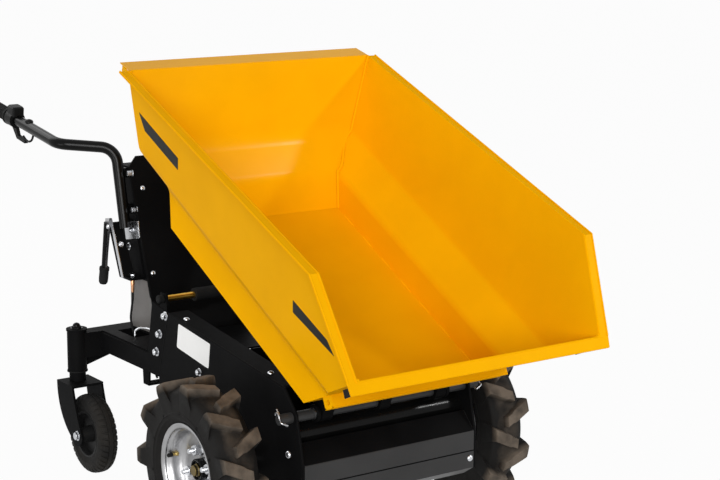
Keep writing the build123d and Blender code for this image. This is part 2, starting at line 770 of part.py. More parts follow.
# Castors
wheel_y = castor_axis_y - castor_trail
crown_low = castor_radius * 2 + crown_gap
crown_high = crown_low + fork_plate
leg_inner = castor_width / 2 + fork_gap
leg_outer = leg_inner + fork_plate
crown_points = [
    (wheel_y + leg_front, crown_low),
    (wheel_y + leg_front, crown_high),
    (wheel_y + leg_rear, crown_high),
    (wheel_y + leg_rear, crown_low),
]
crown = across(crown_points, castor_x - leg_outer, castor_x + leg_outer)
leg_top = crown_low - castor_radius
leg_line = Spline((leg_front, leg_top), (leg_front - 24, 54), (-26, -2))
leg_line += ThreePointArc((-26, -2), (-4, -28), (30, -18))
leg_line += Spline((30, -18), (leg_rear - 17, 52), (leg_rear, leg_top))
leg_line += Line((leg_rear, leg_top), (leg_front, leg_top))
leg_face = Plane.YZ * Pos(wheel_y, castor_radius) * make_face(leg_line)
leg = extrude(leg_face, fork_plate)
legs = Pos(castor_x - leg_outer, 0, 0) * leg + Pos(castor_x + leg_inner, 0, 0) * leg
stem = on_swivel(crown_high, swivel_low + stem_depth, stem_radius)
collar = on_swivel(crown_high, swivel_low - collar_gap, stem_radius + collar_wall)
pin_reach = leg_outer + castor_pin_overhang
castor_pin = lateral_bar(
    wheel_y, castor_radius, castor_axle_radius, castor_x - pin_reach, castor_x + pin_reach
)
save_pair("castor_fork", crown + legs + stem + collar + castor_pin)
castor_half = castor_width / 2
castor_seat_half = castor_half - 4
hub_half = leg_inner - 2
castor_rim_half = [
    (castor_seat_half, castor_rim_radius),
    (castor_seat_half, castor_rim_radius - castor_rim_wall),
    (castor_web_half, castor_rim_radius - 2 * castor_rim_wall),
    (castor_web_half, castor_hub_radius + castor_rim_wall),
    (hub_half, castor_hub_radius),
    (hub_half, castor_axle_radius + running_gap),
]
castor_rim_points = [(castor_x + x, radius) for x, radius in castor_rim_half]
castor_rim_points += [(castor_x - x, radius) for x, radius in castor_rim_half[::-1]]
save_pair("castor_rim", turned(castor_rim_points, wheel_y, castor_radius))
castor_side = [
    (castor_seat_half, castor_rim_radius + 4),
    (castor_half, castor_rim_radius + 16),
    (castor_half - 1, castor_radius - 12),
    (castor_half - 13, castor_radius),
]
castor_tyre = seated(castor_side, castor_rim_radius, castor_seat_half, castor_flats)
save_pair("castor_tyre", Pos(castor_x, wheel_y, castor_radius) * castor_tyre)
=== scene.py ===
import json
from math import cos, pi, radians, sin

import bmesh
import bpy
import numpy as np
from mathutils import Matrix


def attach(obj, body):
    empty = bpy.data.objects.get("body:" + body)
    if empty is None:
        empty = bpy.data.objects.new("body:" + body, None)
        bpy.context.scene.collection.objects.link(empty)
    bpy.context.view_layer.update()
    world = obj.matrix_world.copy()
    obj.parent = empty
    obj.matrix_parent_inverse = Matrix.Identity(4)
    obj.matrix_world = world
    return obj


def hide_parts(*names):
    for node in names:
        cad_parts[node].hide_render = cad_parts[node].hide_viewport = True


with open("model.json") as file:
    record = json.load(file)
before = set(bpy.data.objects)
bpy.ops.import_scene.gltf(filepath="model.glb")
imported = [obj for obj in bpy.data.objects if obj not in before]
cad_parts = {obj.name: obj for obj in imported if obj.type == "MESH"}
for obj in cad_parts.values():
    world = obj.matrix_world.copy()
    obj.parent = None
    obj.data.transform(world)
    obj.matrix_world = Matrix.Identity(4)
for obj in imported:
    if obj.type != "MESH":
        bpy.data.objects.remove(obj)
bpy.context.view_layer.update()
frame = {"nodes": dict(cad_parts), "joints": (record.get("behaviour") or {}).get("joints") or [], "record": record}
joints = {joint["name"]: np.array(joint["pos_m"]) for joint in frame["joints"] if "pos_m" in joint}

# Places are in mm from the drive axle's foot, as the part's drawing has them, and are turned into metres here
mm = 0.001
axle = joints["wheel_left_spin"]
hinge = joints["skip_tip"]
tip_angle = radians(27.0)


def at(x, y, z):
    """A place in metres: x and y from the drive axle's middle, z above the ground, all in mm, arrays too."""
    x, y, z = np.broadcast_arrays(x, y, z)
    return np.stack([x * mm, axle[1] + y * mm, z * mm], axis=-1)


def at_x(x, places):
    """Places that share one x, from a list of their y and z."""
    return at(x, *np.transpose(places))


def on_skip(x, u, v):
    """A place on the tipped skip: u rearward and v up from the hinge, then turned by the tip angle."""
    x, u, v = np.broadcast_arrays(x, u, v)
    y = u * cos(tip_angle) - v * sin(tip_angle)
    z = u * sin(tip_angle) + v * cos(tip_angle)
    return np.stack([x * mm, hinge[1] + y * mm, hinge[2] + z * mm], axis=-1)


# Materials


def material(name, colour, roughness, metallic=0.0, specular=0.5):
    """A principled surface with these even values."""
    made = bpy.data.materials.new(name)
    made.use_nodes = True
    surface = made.node_tree.nodes["Principled BSDF"]
    surface.inputs["Base Color"].default_value = (*colour, 1.0)
    surface.inputs["Roughness"].default_value = roughness
    surface.inputs["Metallic"].default_value = metallic
    surface.inputs["Specular IOR Level"].default_value = specular
    return made


def noise(made, scale, detail=4.0, stretch=(1.0, 1.0, 1.0)):
    """A noise pattern on Object coordinates, with scale in repeats per metre."""
    nodes, links = made.node_tree.nodes, made.node_tree.links
    place = nodes.new("ShaderNodeTexCoord")
    turn = nodes.new("ShaderNodeMapping")
    turn.inputs["Scale"].default_value = stretch
    pattern = nodes.new("ShaderNodeTexNoise")
    pattern.inputs["Scale"].default_value = scale
    pattern.inputs["Detail"].default_value = detail
    links.new(place.outputs["Object"], turn.inputs["Vector"])
    links.new(turn.outputs["Vector"], pattern.inputs["Vector"])
    return pattern.outputs["Fac"]


def graded(made, value, low, high, low_at=0.35, high_at=0.65):
    """The value turned into a colour that runs from low to high between two levels."""
    ramp = made.node_tree.nodes.new("ShaderNodeValToRGB")
    ramp.color_ramp.elements[0].position = low_at
    ramp.color_ramp.elements[1].position = high_at
    ramp.color_ramp.elements[0].color = (*low, 1.0)
    ramp.color_ramp.elements[1].color = (*high, 1.0)
    made.node_tree.links.new(value, ramp.inputs["Fac"])
    return ramp.outputs["Color"]


def feed(made, value, socket):
    """Links a pattern to one of the surface's sockets."""
    surface = made.node_tree.nodes["Principled BSDF"]
    made.node_tree.links.new(value, surface.inputs[socket])


def roughness_from(made, value, low, high):
    """Roughness that follows a pattern between two values."""
    spread = made.node_tree.nodes.new("ShaderNodeMapRange")
    spread.inputs["To Min"].default_value = low
    spread.inputs["To Max"].default_value = high
    made.node_tree.links.new(value, spread.inputs["Value"])
    feed(made, spread.outputs["Result"], "Roughness")


def bumped(made, value, distance, strength=1.0):
    """Small relief from a pattern, its height in metres."""
    relief = made.node_tree.nodes.new("ShaderNodeBump")
    relief.inputs["Distance"].default_value = distance
    relief.inputs["Strength"].default_value = strength
    made.node_tree.links.new(value, relief.inputs["Height"])
    feed(made, relief.outputs["Normal"], "Normal")


def powder_coat(name, low, high, roughness, peel, specular=0.3):
    """Powder coat: two close shades, orange-peel relief and a roughness that wanders a little."""
    made = material(name, high, roughness, specular=specular)
    feed(made, graded(made, noise(made, 7.0), low, high), "Base Color")
    roughness_from(made, noise(made, 60.0), roughness - 0.05, roughness + 0.07)
    bumped(made, noise(made, 420.0, 2.0), peel)
    return made


def rubber(name, clean, dusty, scale):
    """Rubber with a dusty bloom in patches and a fine grain."""
    made = material(name, clean, 0.75, specular=0.12)
    feed(made, graded(made, noise(made, scale, 6.0), clean, dusty, 0.42, 0.75), "Base Color")
    roughness_from(made, noise(made, scale * 3), 0.6, 0.85)
    bumped(made, noise(made, 900.0, 3.0), 0.0004)
    return made


def pale_tops(made, clean, paler, low, high):
    """A colour that runs from the darker to the paler shade between two distances from the drive axle, in metres.
    """
    nodes, links = made.node_tree.nodes, made.node_tree.links
    place = nodes.new("ShaderNodeTexCoord")
    from_axle = nodes.new("ShaderNodeVectorMath")
    from_axle.operation = "MULTIPLY_ADD"
    from_axle.inputs[1].default_value = (0.0, 1.0, 1.0)
    from_axle.inputs[2].default_value = (0.0, -axle[1], -axle[2])
    distance = nodes.new("ShaderNodeVectorMath")
    distance.operation = "LENGTH"
    share = nodes.new("ShaderNodeMapRange")
    share.inputs["From Min"].default_value = low
    share.inputs["From Max"].default_value = high
    patchy = nodes.new("ShaderNodeMath")
    patchy.operation = "MULTIPLY"
    links.new(place.outputs["Object"], from_axle.inputs[0])
    links.new(from_axle.outputs["Vector"], distance.inputs[0])
    links.new(distance.outputs["Value"], share.inputs["Value"])
    links.new(share.outputs["Result"], patchy.inputs[0])
    links.new(noise(made, 26.0, 5.0), patchy.inputs[1])
    feed(made, graded(made, patchy.outputs["Value"], clean, paler, 0.12, 0.62), "Base Color")


def metal(name, low, high, roughness, stretch=(1.0, 1.0, 1.0)):
    """Bare or plated metal with fine tool marks that may run one way."""
    made = material(name, high, roughness, metallic=1.0)
    marks = noise(made, 160.0, 5.0, stretch)
    feed(made, graded(made, noise(made, 22.0), low, high), "Base Color")
    roughness_from(made, marks, roughness - 0.08, roughness + 0.12)
    bumped(made, marks, 0.00008)
    return made


def grey(level):
    """An even grey."""
    return level, level, level


# Two shades for each of these, and the distances from the axle in metres between which the lugs turn paler
yellow_shades = (0.84, 0.395, 0.001), (0.88, 0.42, 0.001)
rubber_shades = (0.006, 0.0058, 0.0055), (0.017, 0.0152, 0.013)
lug_shades = (0.0065, 0.006, 0.0056), (0.13, 0.105, 0.082)
lug_pale_from, lug_pale_to = 0.185, 0.213

yellow = powder_coat("skip_yellow", *yellow_shades, 0.3, 0.00012, 0.006)
gloss_yellow = powder_coat("gloss_yellow", *yellow_shades, 0.18, 0.00005, 0.045)
gloss_black = powder_coat("frame_black", (0.003, 0.003, 0.0032), (0.0048, 0.0048, 0.005), 0.5, 0.0001, 0.02)
tube_black = powder_coat("tube_black", grey(0.0025), grey(0.004), 0.2, 0.00005, 0.1)
tyre_black = rubber("tyre_rubber", *rubber_shades, 14.0)
# A lighter black than the frame's for the front cover, belly pan and hinge shaft: painted sheen of their lit black
# paint
painted_sheen_black = powder_coat("painted_sheen_black", (0.024, 0.024, 0.0243), (0.03, 0.03, 0.0303), 0.42, 0.00012, 0.2)
lug_black = rubber("lug_rubber", *rubber_shades, 14.0)
pale_tops(lug_black, *lug_shades, lug_pale_from, lug_pale_to)
soft_black = rubber("black_rubber", grey(0.006), grey(0.011), 30.0)
plastic_black = powder_coat("black_plastic", grey(0.006), grey(0.009), 0.42, 0.00025, 0.08)
# Grey that stands in for the bright floor reflected by the tower's black housing low on its sides: painted
# reflection
painted_reflection_grey = powder_coat("painted_reflection_grey", (0.12, 0.112, 0.106), (0.15, 0.142, 0.135), 0.4, 0.0001)
silver_paint = metal("rim_silver", (0.30, 0.30, 0.305), (0.38, 0.38, 0.385), 0.32)
bare_steel = metal("bare_steel", (0.34, 0.34, 0.35), (0.46, 0.46, 0.47), 0.28, (1.0, 6.0, 6.0))
zinc = metal("zinc_plate", (0.44, 0.45, 0.47), (0.60, 0.61, 0.63), 0.26)
gold_zinc = metal("gold_zinc", (0.70, 0.40, 0.06), (0.86, 0.54, 0.11), 0.30)
casting_grey = powder_coat("drive_casting", (0.05, 0.05, 0.052), (0.08, 0.08, 0.083), 0.55, 0.0005)
brass = metal("brass", (0.26, 0.19, 0.06), (0.42, 0.31, 0.11), 0.34)
dark_brass = metal("dark_brass", (0.10, 0.075, 0.03), (0.19, 0.14, 0.055), 0.36)
copper = metal("copper_plate", (0.45, 0.22, 0.11), (0.62, 0.33, 0.18), 0.32)
stripe_black = powder_coat("stripe_black", (0.009, 0.0085, 0.008), (0.012, 0.0115, 0.011), 0.4, 0.00003, 0.05)
label_white = powder_coat("label_white", (0.80, 0.80, 0.79), (0.86, 0.86, 0.85), 0.38, 0.00003)

finishes = {
    "skip_yellow": yellow,
    "frame_black": gloss_black,
    "bare_steel": bare_steel,
    "gold_zinc": gold_zinc,
    "rim_silver": silver_paint,
    "tyre_rubber": tyre_black,
    "black_rubber": soft_black,
    "black_plastic": plastic_black,
    "drive_casting": casting_grey,
    "actuator_black": tube_black,
}
for part in frame["record"]["subparts"]:
    node = frame["nodes"][part["node"]]
    node.data.materials.clear()
    node.data.materials.append(finishes[part["material_slot"]])
for name in ("handle_left", "handle_right", "cross_tube"):
    frame["nodes"][name].data.materials[0] = tube_black
frame["nodes"]["skip_rear_wall"].data.materials[0] = gloss_yellow
# The front cover, belly pan and hinge shaft get the lighter black, a painted sheen
for name in ("front_cover", "belly_pan", "hinge_shaft"):
    frame["nodes"][name].data.materials[0] = painted_sheen_black

# Surfaces: each is a grid of places with a note of whether its rows and its columns close into a ring


def unit(direction):
    """The direction at length one."""
    direction = np.asarray(direction, float)
    return direction / np.linalg.norm(direction, axis=-1, keepdims=True)


def square_to(direction):
    """Two unit vectors square to a direction and to each other."""
    helper = (0.0, 1.0, 0.0) if abs(direction[2]) > 0.9 else (0.0, 0.0, 1.0)
    first = unit(np.cross(helper, direction))
    return first, np.cross(direction, first)


def turned(profile, centre, direction, steps=32, flat=None, closed=False):
    """Profile (along, radius) in mm turned about a line: centre + along * direction + radius * ring(turn).
    With flat, the radius is held inside a hexagon: no more than flat / cos(turn from the nearest flat)."""
    direction = unit(direction)
    first, second = square_to(direction)
    along, radius = np.array(profile, float).T
    turn = np.linspace(0.0, 2 * pi, steps, endpoint=False)
    radius = np.repeat(radius[:, None], steps, axis=1)
    if flat:
        off_flat = (turn + pi / 6) % (pi / 3) - pi / 6
        radius = np.minimum(radius, flat / np.cos(off_flat))
    ring = np.cos(turn)[:, None] * first + np.sin(turn)[:, None] * second
    points = centre + mm * along[:, None, None] * direction + mm * radius[:, :, None] * ring
    return points, closed, True


def hex_nut(place, direction, flat, height):
    """Hexagon with chamfered corners: a turned cone and cylinder held inside six flats."""
    corner = flat / cos(pi / 6)
    chamfer = 0.22 * flat
    profile = [(0, 0), (0, flat), (0.4 * chamfer, corner), (height - 0.5 * chamfer, corner)]
    profile += [(height, corner - chamfer), (height, 0)]
    return turned(profile, place, direction, 24, flat)


def washer(place, direction, radius, height):
    """Round washer with a broken edge and no hole, since what it carries covers the place."""
    edge = 0.3 * height
    profile = [(0, 0), (0, radius), (height - edge, radius), (height, radius - edge), (height, 0)]
    return turned(profile, place, direction, 28)


def dome(place, direction, radius, height):
    """Domed head: along = height * sin(a) and radius * cos(a), with a from the rim to the crown."""
    lift = np.linspace(0.0, pi / 2, 7)
    profile = np.stack([height * np.sin(lift), radius * np.cos(lift)], axis=1)
    return turned(np.vstack([[(0.0, 0.0)], profile]), place, direction, 20)


def hex_bolt(place, direction, flat, height=None):
    """Washer, hexagon head and the domed end that stands out of it, one on the other."""
    height = height or 1.1 * flat
    step = unit(direction) * mm
    rest = 0.25 * flat
    head = hex_nut(place + step * rest, direction, flat, height)
    end = dome(place + step * (rest + height - 0.2), direction, 0.6 * flat, 0.3 * flat)
    return [washer(place, direction, 1.5 * flat, rest), head, end]


def smooth_path(points, count):
    """Catmull-Rom curve through given points: cubic blends of four neighbours, as one array."""
    points = np.asarray(points, float)
    held = np.vstack([2 * points[0] - points[1], points, 2 * points[-1] - points[-2]])
    place = np.linspace(0.0, len(points) - 1 - 1e-9, count)
    span = place.astype(int)
    t = (place - span)[:, None]
    a, b, c, d = held[span], held[span + 1], held[span + 2], held[span + 3]
    curve = 2 * b + (c - a) * t + (2 * a - 5 * b + 4 * c - d) * t**2 + (3 * b - a - 3 * c + d) * t**3
    return 0.5 * curve


def tube(path, radius, steps=10):
    """Circle of a radius in mm, one or one for each point, carried along a path and closed at both ends."""
    path = np.asarray(path, float)
    heading = unit(np.gradient(path, axis=0))
    least = np.argmin(np.abs(heading).max(axis=0))
    first = unit(np.cross(np.eye(3)[least], heading))
    second = np.cross(heading, first)
    turn = np.linspace(0.0, 2 * pi, steps, endpoint=False)
    ring = np.cos(turn)[None, :, None] * first[:, None] + np.sin(turn)[None, :, None] * second[:, None]
    reach = mm * np.broadcast_to(radius, len(path))[:, None, None]
    points = path[:, None] + reach * ring
    ends = [np.repeat(path[end][None, None], steps, axis=1) for end in (0, -1)]
    return np.concatenate([ends[0], points, ends[1]]), False, True


def weld(start, end, radius=3.0, ripple=5.0):
    """Weld bead: a tube whose radius swells and falls once for every ripple of its length, in mm."""
    length = np.linalg.norm(np.subtract(end, start)) / mm
    count = max(8, int(4 * length / ripple))
    share = np.linspace(0.0, 1.0, count)
    path = start + share[:, None] * (np.asarray(end) - start)
    return tube(path, radius * (1 + 0.14 * np.sin(2 * pi * share * length / ripple)), 8)


def edge_round(points, radius):
    """Rounded fold along straight edges: a tube through each pair of neighbouring points."""
    return [tube(np.stack([a, b]), radius, 12) for a, b in zip(points, points[1:])]


def rounded(corners, radius, steps=6):
    """Outline with each corner cut back by radius, in mm, and joined by a quadratic curve."""
    corners = np.asarray(corners, float)
    before = corners + mm * radius * unit(np.roll(corners, 1, axis=0) - corners)
    after = corners + mm * radius * unit(np.roll(corners, -1, axis=0) - corners)
    t = np.linspace(0.0, 1.0, steps)[None, :, None]
    curve = (1 - t) ** 2 * before[:, None] + 2 * t * (1 - t) * corners[:, None] + t**2 * after[:, None]
    return curve.reshape(-1, 3)


def plate(corners, outward, thickness, edge=0.4):
    """Flat plate: its outline drawn in to the middle on both faces, with an edge that is broken all round."""
    corners = np.asarray(corners, float)
    outward = unit(outward) * mm
    middle = corners.mean(axis=0)
    size = np.linalg.norm(corners - middle, axis=1).min() / mm
    drawn_in = 1 - edge / size
    levels = ((0.0, thickness), (drawn_in, thickness), (1.0, thickness - edge), (1.0, 0.0), (0.0, 0.0))
    rings = [middle + share * (corners - middle) + height * outward for share, height in levels]
    return np.stack(rings), False, True


def piece(name, body, finish, surfaces, sharp=32.0):
    """Joins surfaces into one mesh, merges its doubles, turns its faces outwards and puts it on a body."""
    corners, quads, start = [], [], 0
    for points, closed_rows, closed_columns in surfaces:
        rows, columns = points.shape[:2]
        last_row, last_column = rows - 1 + closed_rows, columns - 1 + closed_columns
        i, j = np.meshgrid(np.arange(last_row), np.arange(last_column), indexing="ij")
        below, beside = (i + 1) % rows * columns, (j + 1) % columns
        quad = np.stack([i * columns + j, i * columns + beside, below + beside, below + j], axis=-1)
        quads.append(quad.reshape(-1, 4) + start)
        corners.append(points.reshape(-1, 3))
        start += rows * columns
    corners = np.concatenate(corners).astype(np.float32)
    quads = np.concatenate(quads).astype(np.int32)
    mesh = bpy.data.meshes.new(name)
    mesh.vertices.add(len(corners))
    mesh.vertices.foreach_set("co", corners.ravel())
    mesh.loops.add(quads.size)
    mesh.loops.foreach_set("vertex_index", quads.ravel())
    mesh.polygons.add(len(quads))
    mesh.polygons.foreach_set("loop_start", np.arange(0, quads.size, 4, dtype=np.int32))
    mesh.update(calc_edges=True)
    shape = bmesh.new()
    shape.from_mesh(mesh)
    bmesh.ops.remove_doubles(shape, verts=shape.verts, dist=0.00001)
    bmesh.ops.dissolve_degenerate(shape, edges=shape.edges, dist=0.00001)
    bmesh.ops.recalc_face_normals(shape, faces=shape.faces)
    shape.to_mesh(mesh)
    shape.free()
    mesh.polygons.foreach_set("use_smooth", np.ones(len(mesh.polygons), bool))
    mesh.set_sharp_from_angle(angle=radians(sharp))
    mesh.materials.append(finish)
    made = bpy.data.objects.new(name, mesh)
    bpy.context.scene.collection.objects.link(made)
    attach(made, body)
    return made


# Drive wheels: the lug values are the drawing's own
tyre_radius = 214.0
tyre_middle = 383.0
lug_count = 11
lug_lead = 35.0
lug_reach = 58.0
lug_overlap = 15.0
lug_phase = radians(4.9)
lug_root_radius = 160.0
lug_root_half = 24.0
lug_taper = np.tan(radians(9.0))

# Half of the tyre's section from crown to bead: under the lugs, casing x and radius, then tread x and radius,
# and below them x and radius alone
lugged_rows = [
    (0.0, 197.0, 0.0, 214.0), (8.0, 197.0, 8.0, 214.0), (15.0, 197.0, 15.0, 214.0),
    (17.5, 197.0, 17.5, 214.0), (24.0, 195.6, 28.0, 214.0), (32.0, 192.4, 39.0, 214.0),
    (39.0, 188.8, 48.0, 213.8), (42.5, 186.6, 52.4, 213.2), (44.2, 185.2, 54.0, 211.2),
    (45.4, 182.8, 54.7, 206.0), (46.4, 178.0, 55.0, 198.5), (47.4, 170.0, 53.0, 184.0),
    (48.2, 163.0, 50.6, 171.0), (49.0, 155.0, 49.4, 158.0),
]
bare_rows = [
    (49.8, 146.0), (50.0, 141.0), (50.9, 139.8), (50.9, 138.0), (49.4, 136.8), (48.6, 131.0), (48.9, 129.8),
    (48.2, 128.2), (46.8, 127.2), (43.0, 121.0), (40.5, 118.0), (37.6, 116.0), (36.5, 103.0),
]
half_section = np.array(lugged_rows + [(x, radius, x, radius) for x, radius in bare_rows])

# Across one lug at its top: places in mm from its middle, and the share of the lug's height there
lug_across = np.array([-20.6, -18.9, -16.0, -14.7, -5.0, 5.0, 14.7, 16.0, 18.9, 20.6])
lug_height = np.array([0.0, 0.05, 0.92, 1.0, 1.0, 1.0, 1.0, 0.92, 0.05, 0.0])

# How many times as wide a lug may get towards its root, and how wide it is past the tread's middle
lug_widest, lug_past_middle = 1.9, 0.8


def lug_lean(x):
    """How far a lug of the outer row leads, in mm, at a place across the tread: straight to its inner end,
    and past that end in step with the other row."""
    slope = lug_lead / (lug_reach + lug_overlap)
    past_end = slope * (lug_reach + x + 2 * lug_overlap)
    return np.where(x >= -lug_overlap, slope * (lug_reach - x), past_end)


def drive_tyre(side):
    """Lugged tyre: casing(s) + height(s, turn) * (tread(s) - casing(s)), with s across the section from bead
    to bead and turn about the axle. Grid lines follow the flanks of both rows of lugs, half a pitch apart."""
    section = np.vstack([half_section[::-1], half_section[1:] * (-1, 1, -1, 1)])
    casing_x, casing_r, tread_x, tread_r = section.T
    pitch = 2 * pi / lug_count
    middles = lug_phase + pitch * np.arange(lug_count)
    half_at = (lug_root_half - (tread_r - lug_root_radius) * lug_taper) / tread_r
    widened = np.maximum(half_at / half_at[len(half_section) - 1], 1.0)
    rows, heights = [], []
    for row_side, start in ((1, 0.0), (-1, pitch / 2)):
        x = row_side * tread_x
        spread = np.where(x > 0, np.minimum(widened, lug_widest), lug_past_middle)
        lead = lug_lean(x)[:, None, None] / tyre_radius
        across = lug_across[None, None] * spread[:, None, None] / tyre_radius
        rows.append(middles[None, :, None] + start + lead + across)
        stands = (x >= -lug_overlap - 0.1)[:, None, None]
        heights.append(np.broadcast_to(lug_height * stands, rows[-1].shape))
    outer, inner = rows
    between = np.array([0.34, 0.66])
    next_outer = np.roll(outer[:, :, :1], -1, axis=1)
    next_outer[:, -1] += 2 * pi
    gap_one = outer[:, :, -1:] * (1 - between) + inner[:, :, :1] * between
    gap_two = inner[:, :, -1:] * (1 - between) + next_outer * between
    flat_gap = np.zeros(gap_one.shape)
    turn = np.concatenate([outer, gap_one, inner, gap_two], axis=2).reshape(len(section), -1)
    height = np.concatenate([heights[0], flat_gap, heights[1], flat_gap], axis=2).reshape(turn.shape)
    x = casing_x[:, None] + height * (tread_x - casing_x)[:, None]
    radius = casing_r[:, None] + height * (tread_r - casing_r)[:, None]
    points = at(side * (tyre_middle + x), -radius * np.sin(turn), tyre_radius + radius * np.cos(turn))
    return points, True, True


# Rim section, from the hub's face out over the dish and flange, and back along the inner side
rim_section = [
    (4, 12.7), (4, 23), (2, 25.4), (-5, 25.8), (-8, 29), (-8, 70), (-6.6, 79), (-2, 87.5), (6, 92.6),
    (18, 94.6), (26, 96), (29.5, 99), (33, 102.4), (38, 104.5), (40.6, 109), (42, 113.4), (41.6, 115.2),
    (39.4, 115.2), (38, 110), (36.6, 103.2), (30, 102), (-30, 102), (-36.6, 103.2), (-38, 110),
    (-39.4, 115.2), (-41.6, 115.2), (-42, 113.4), (-40, 107), (-36, 101), (-30, 98), (-15, 97.5),
    (-13, 94), (-13, 34), (-16, 32), (-81, 32), (-81, 12.7),
]
hub_section = [
    (-6, 25.9), (10.5, 26.4), (12.4, 25.2), (13, 23.4), (12.4, 21.6), (6.5, 20), (5.2, 18), (5.2, 12.7),
    (4.1, 12.7), (4.1, 24), (-6, 24),
]

# Studs with their nuts, the hub nut and the valve: sections are along the axle and radius
nut_count = 4
nut_circle = 46.0
nut_start = radians(18.0)
nut_seat = -8.2
wheel_nut, wheel_nut_lift = (11.0, 17.0), 3.8
stud_lift = 20.0
stud_threads = [(i, 6.4 - 0.5 * (i % 2)) for i in range(1, 13)]
stud_section = [(0, 6.4)] + stud_threads + [(13.5, 5.2), (13.5, 0)]
collar_section = [(0, 0), (0, 16), (1.6, 16), (4, 13), (4, 0)]
hub_nut, hub_nut_lift = (14.5, 9.0), 5.0
hub_end_section = [(16, 0), (16, 12.9), (20.6, 12.9), (21.8, 11.4), (21.8, 0)]
valve_place = (10.0, 91.0, radians(80.0))
valve_section = [(0, 0), (0, 5.2), (6, 5.0), (7.5, 4.0), (17, 4.0), (17, 0)]
valve_cap_section = [(15, 0), (15, 5.2), (26, 5.0), (28, 3.8), (28, 0)]
valve_cap_flat = 4.7


def on_wheel(side, out, radius, turn):
    """A place on a drive wheel: out from the tyre's middle, at a radius, turned rearward from the top."""
    return at(side * (tyre_middle + out), radius * sin(turn), tyre_radius + radius * cos(turn))


def drive_wheel(side, name):
    """Tyre, rim, hub, studs with their nuts, hub nut and valve of one drive wheel."""
    body = f"wheel_{name}"
    outward = np.array([side, 0.0, 0.0])
    centre = at(side * tyre_middle, 0.0, tyre_radius)
    tyre = piece(f"lugged_tyre_{name}", body, lug_black, [drive_tyre(side)], 25.0)
    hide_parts(f"tyre_{name}")
    dish = turned(rim_section, centre, outward, 96, closed=True)
    rim = piece(f"dished_rim_{name}", body, silver_paint, [dish])
    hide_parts(f"rim_{name}")
    hub = turned(hub_section, centre, outward, 64, closed=True)
    piece(f"hub_{name}", body, tube_black, [hub])
    nuts = []
    for turn in nut_start + 2 * pi / nut_count * np.arange(nut_count):
        seat = on_wheel(side, nut_seat, nut_circle, turn)
        nuts.append(turned(collar_section, seat, outward, 32))
        nuts.append(hex_nut(seat + outward * mm * wheel_nut_lift, outward, *wheel_nut))
        nuts.append(turned(stud_section, seat + outward * mm * stud_lift, outward, 16))
    piece(f"wheel_nuts_{name}", body, zinc, nuts)
    crown = hex_nut(centre + outward * mm * hub_nut_lift, outward, *hub_nut)
    hub_end = turned(hub_end_section, centre, outward, 32)
    piece(f"hub_nut_{name}", body, dark_brass, [crown, hub_end])
    foot = on_wheel(side, *valve_place)
    stem = turned(valve_section, foot, outward, 16)
    piece(f"valve_stem_{name}", body, brass, [stem])
    cap = turned(valve_cap_section, foot, outward, 24, valve_cap_flat)
    piece(f"valve_cap_{name}", body, soft_black, [cap])


# Castors, and half of their tyre's section from crown to bead: x, casing radius and tread radius of the rib
# and of the blocks beside it, then x and radius of the bare wall
castor_x = 305.0
castor_y = 704.0
castor_swivel_y = 788.0
castor_radius = 106.0
castor_blocks = 38
block_slant = 0.3
rib_rows = [(0.0, 103.4, 106.0), (4.4, 103.4, 106.0), (5.0, 103.2, 105.6)]
block_rows = [
    (5.4, 103.0, 103.0), (8.0, 102.9, 102.9), (8.4, 102.8, 105.2), (9.0, 102.6, 105.6), (14.0, 101.0, 104.4),
    (19.0, 97.6, 101.4), (22.4, 93.0, 96.6), (24.6, 87.0, 89.0),
]
wall_rows = [
    (25.6, 81.0), (26.0, 77.0), (25.8, 75.4), (24.6, 74.6), (23.4, 69.0), (22.0, 66.0), (21.6, 62.2),
]
castor_section = np.array(
    [(*row, 1.0) for row in rib_rows]
    + [(*row, 0.0) for row in block_rows]
    + [(x, radius, radius, 0.0) for x, radius in wall_rows]
)

# Axle nuts and swivel: a nut is half its width and its height, a washer or dome its radius and its height
castor_leg_face = 46.0
axle_washer = (13.0, 2.0)
axle_nut, axle_nut_lift = (9.4, 6.8), 1.9
swivel_top = 375.8
swivel_washer, swivel_washer_sink = (17.0, 2.2), 0.2
swivel_nut = (11.0, 7.5)
swivel_dome, swivel_dome_lift = (10.2, 8.6), 7.0
ring_inner, ring_outer = 22.5, 27.6
swivel_rings = (
    ("swivel_seals", 258.5, 261.6, soft_black, "black_rubber"),
    ("swivel_rim", 371.0, 374.0, gloss_black, "frame_black"),
)


def castor_tyre(side):
    """Road tyre: radius = casing(s) + height(s, turn) * (tread(s) - casing(s)). The middle rib runs all
    round, and the shoulders are slanting blocks with a cross groove between them."""
    mirrored = castor_section[1:] * (-1, 1, 1, 1)
    x, casing_r, tread_r, rib = np.vstack([castor_section[::-1], mirrored]).T
    block = np.array([0.0, 0.0, 1.0, 1.0, 1.0, 1.0])
    place = np.array([0.0, 0.2, 0.28, 0.52, 0.76, 0.92])
    turn = ((np.arange(castor_blocks)[:, None] + place) * 2 * pi / castor_blocks).ravel()
    height = np.maximum(np.tile(block, castor_blocks)[None], rib[:, None])
    radius = casing_r[:, None] + height * (tread_r - casing_r)[:, None]
    across = side * castor_x + x[:, None]
    slant = turn + block_slant * x[:, None] / castor_radius
    return at(across, castor_y - radius * np.sin(slant), castor_radius + radius * np.cos(slant)), True, True


